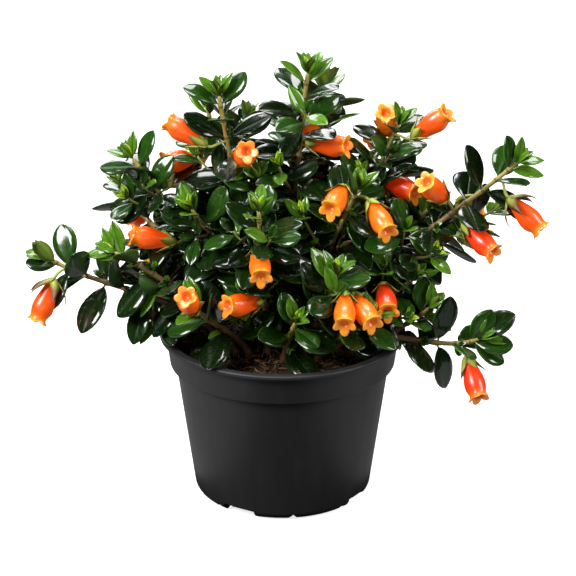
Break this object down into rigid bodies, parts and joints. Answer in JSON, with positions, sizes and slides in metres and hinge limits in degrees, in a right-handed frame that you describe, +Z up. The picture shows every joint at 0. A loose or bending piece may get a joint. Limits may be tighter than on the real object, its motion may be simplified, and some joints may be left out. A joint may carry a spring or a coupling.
{
  "type": "potted goldfish plant",
  "caption": "Bushy potted goldfish plant with arching stems, glossy oval leaves in opposite pairs and orange pouch flowers, in a plain black round pot with a rolled rim",
  "frame": {"origin": "centre of the pot's flat underside, at the level it stands on", "axes": "+Z up, the front of the plant as pictured faces -Y, +X to the right seen from the front"},
  "size_m": [0.25, 0.1737, 0.2181],
  "materials": {
    "pot_plastic": "satin black moulded plastic",
    "potting_soil": "loose moist peat and bark",
    "stem_bark": "thin smooth bark, brown at the foot and green-tan above",
    "leaf_green": "glossy dark green leaf",
    "young_leaf": "glossy light green young leaf",
    "flower_orange": "satin orange petal",
    "calyx_green": "matt olive sepal with brown tip"
  },
  "bodies": {
    "root": {"pot": "pot_plastic", "potting_soil": "potting_soil", "stem_far_left": "stem_bark", "foliage_far_left": "leaf_green", "stem_left": "stem_bark", "foliage_left": "leaf_green", "stem_upper_left": "stem_bark", "foliage_upper_left": "leaf_green", "stem_top_left": "stem_bark", "foliage_top_left": "leaf_green", "bough_inner_left": "stem_bark", "foliage_inner_left": "leaf_green", "stem_top_centre": "stem_bark", "foliage_top_centre": "leaf_green", "stem_right_top": "stem_bark", "foliage_right_top": "leaf_green", "stem_mid_right": "stem_bark", "foliage_mid_right": "leaf_green", "stem_far_right": "stem_bark", "foliage_far_right": "leaf_green", "bough_right_upper": "stem_bark", "foliage_right_upper": "leaf_green", "stem_right_low": "stem_bark", "foliage_right_low": "leaf_green", "bough_right_low_side": "stem_bark", "foliage_right_low_side": "leaf_green", "stem_right_inner": "stem_bark", "foliage_right_inner": "leaf_green", "stem_centre_front": "stem_bark", "foliage_centre_front": "leaf_green", "stem_front_right": "stem_bark", "foliage_front_right": "leaf_green", "stem_low_left_front": "stem_bark", "foliage_low_left_front": "leaf_green", "stem_low_front": "stem_bark", "foliage_low_front": "leaf_green", "stem_low_right_front": "stem_bark", "foliage_low_right_front": "leaf_green", "stem_crown_middle": "stem_bark", "foliage_crown_middle": "leaf_green", "stem_back_top_left": "stem_bark", "foliage_back_top_left": "leaf_green", "stem_back_top_right": "stem_bark", "foliage_back_top_right": "leaf_green", "stem_back_left": "stem_bark", "foliage_back_left": "leaf_green", "bough_back_left_low": "stem_bark", "foliage_back_left_low": "leaf_green", "stem_back_middle": "stem_bark", "foliage_back_middle": "leaf_green", "stem_back_right": "stem_bark", "foliage_back_right": "leaf_green", "stem_back_right_low": "stem_bark", "foliage_back_right_low": "leaf_green", "stem_back_low": "stem_bark", "foliage_back_low": "leaf_green"}
  },
  "joints": []
}
